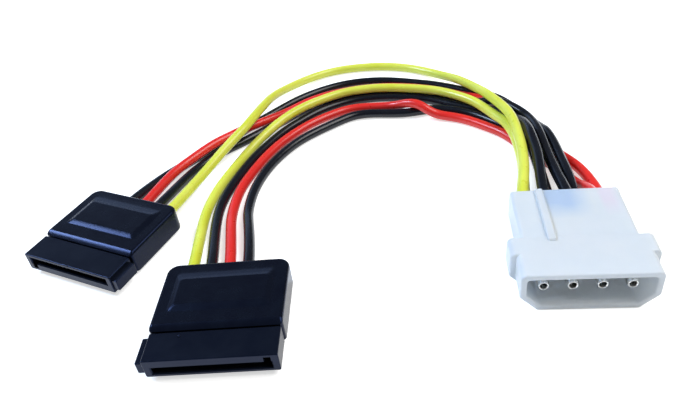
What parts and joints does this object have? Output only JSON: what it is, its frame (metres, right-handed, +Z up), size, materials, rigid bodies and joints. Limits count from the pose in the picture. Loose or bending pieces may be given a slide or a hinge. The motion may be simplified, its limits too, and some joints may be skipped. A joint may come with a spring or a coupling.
{
  "type": "drive power splitter cable",
  "caption": "Short power splitter lead: a translucent four-pin housing joined by loose yellow, black and red wires to two flat black drive plugs.",
  "frame": {"origin": "on the surface the lead lies on, under the middle of the three connectors' bounding box", "axes": "+X to the right along the row of connectors, +Y away from the mating faces towards the wires' loop, +Z up"},
  "size_m": [0.1252, 0.1139, 0.009],
  "materials": {
    "natural_nylon": "satin, slightly translucent",
    "tinned_brass": "bright tin plate",
    "black_vinyl": "satin moulded",
    "black_nylon": "satin moulded",
    "gilt_bronze": "bright",
    "yellow_insulation": "smooth extruded",
    "black_insulation": "smooth extruded",
    "red_insulation": "smooth extruded"
  },
  "bodies": {
    "root": {"four_pin_housing": "natural_nylon", "pin_12v": "tinned_brass", "pin_ground_a": "tinned_brass", "pin_ground_b": "tinned_brass", "pin_5v": "tinned_brass", "left_overmould": "black_vinyl", "left_insulator": "black_nylon", "left_comb_12v": "gilt_bronze", "left_comb_ground_a": "gilt_bronze", "left_comb_5v": "gilt_bronze", "left_comb_ground_b": "gilt_bronze", "left_comb_3v3": "gilt_bronze", "front_overmould": "black_vinyl", "front_insulator": "black_nylon", "front_comb_12v": "gilt_bronze", "front_comb_ground_a": "gilt_bronze", "front_comb_5v": "gilt_bronze", "front_comb_ground_b": "gilt_bronze", "front_comb_3v3": "gilt_bronze", "wire_yellow_left": "yellow_insulation", "wire_yellow_front": "yellow_insulation", "wire_black_left_a": "black_insulation", "wire_black_left_b": "black_insulation", "wire_black_front_a": "black_insulation", "wire_black_front_b": "black_insulation", "wire_red_left": "red_insulation", "wire_red_front": "red_insulation"}
  },
  "joints": []
}
